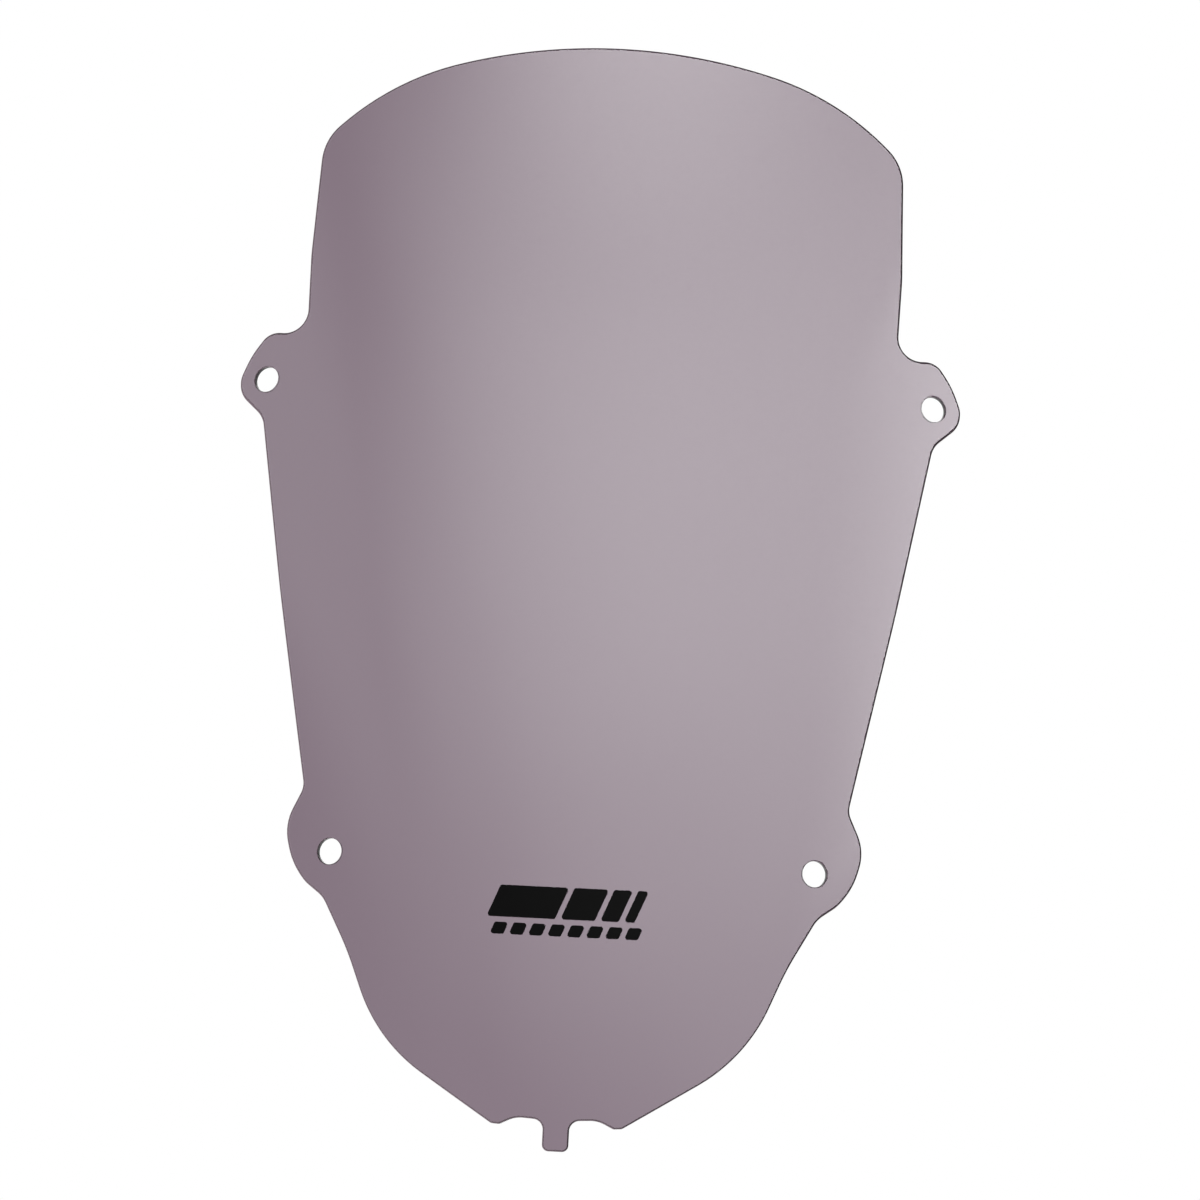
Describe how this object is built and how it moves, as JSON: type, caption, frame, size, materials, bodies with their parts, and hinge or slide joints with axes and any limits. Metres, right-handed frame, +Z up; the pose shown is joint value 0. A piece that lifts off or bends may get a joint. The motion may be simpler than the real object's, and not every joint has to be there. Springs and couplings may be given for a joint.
{
  "type": "windshield screen",
  "caption": "Curved smoked-clear screen for a sport motorcycle, with an arched top, fixing ears at its flanks, a tapered tail and a locating tongue at its foot.",
  "frame": {"origin": "middle of the locating tongue's tip, on the outer face, in the symmetry plane", "axes": "+Z up from the tongue to the crown, +X to the right as seen from the front, -Y out of the convex outer face"},
  "size_m": [0.278, 0.1102, 0.4217],
  "materials": {
    "smoked_acrylic": "clear with a light smoke tint, polished",
    "black_vinyl": "cut vinyl film, satin"
  },
  "bodies": {
    "root": {"screen": "smoked_acrylic", "mark_blocks": "black_vinyl", "mark_dashes": "black_vinyl"}
  },
  "joints": []
}
